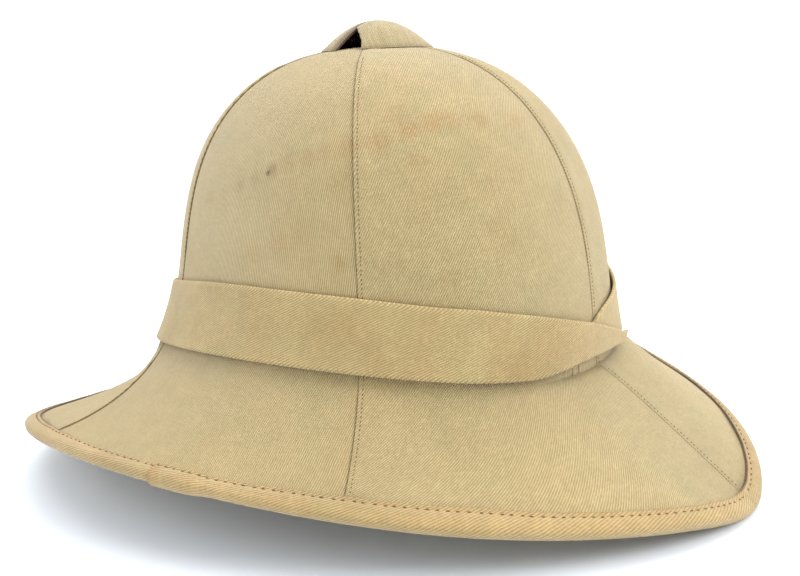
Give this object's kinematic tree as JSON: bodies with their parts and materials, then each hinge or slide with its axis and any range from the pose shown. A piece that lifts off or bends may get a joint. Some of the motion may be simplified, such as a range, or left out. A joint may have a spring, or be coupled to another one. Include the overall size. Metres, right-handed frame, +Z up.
{
  "type": "pith helmet",
  "caption": "Cloth-covered pith helmet with a domed, seamed crown, a wide drooping bound brim, a wrapped cloth band and a hooded vent on top, worn for shade.",
  "frame": {"origin": "middle of the helmet's footprint, on the surface that it rests on", "axes": "+Z up, front of the helmet towards -Y, wearer's left towards +X"},
  "size_m": [0.3086, 0.3547, 0.2009],
  "materials": {
    "pith": "matte moulded pith",
    "khaki_cotton": "matte cotton twill, stained with age",
    "band_cotton": "matte cotton twill, folded",
    "binding_cotton": "matte cotton twill, cut on the bias and stitched"
  },
  "bodies": {
    "root": {"pith_shell": "pith", "cover_panel_back_left": "khaki_cotton", "cover_panel_side_left": "khaki_cotton", "cover_panel_front_left": "khaki_cotton", "cover_panel_front_right": "khaki_cotton", "cover_panel_side_right": "khaki_cotton", "cover_panel_back_right": "khaki_cotton", "band": "band_cotton", "brim_binding": "binding_cotton", "vent_cap": "khaki_cotton"}
  },
  "joints": []
}
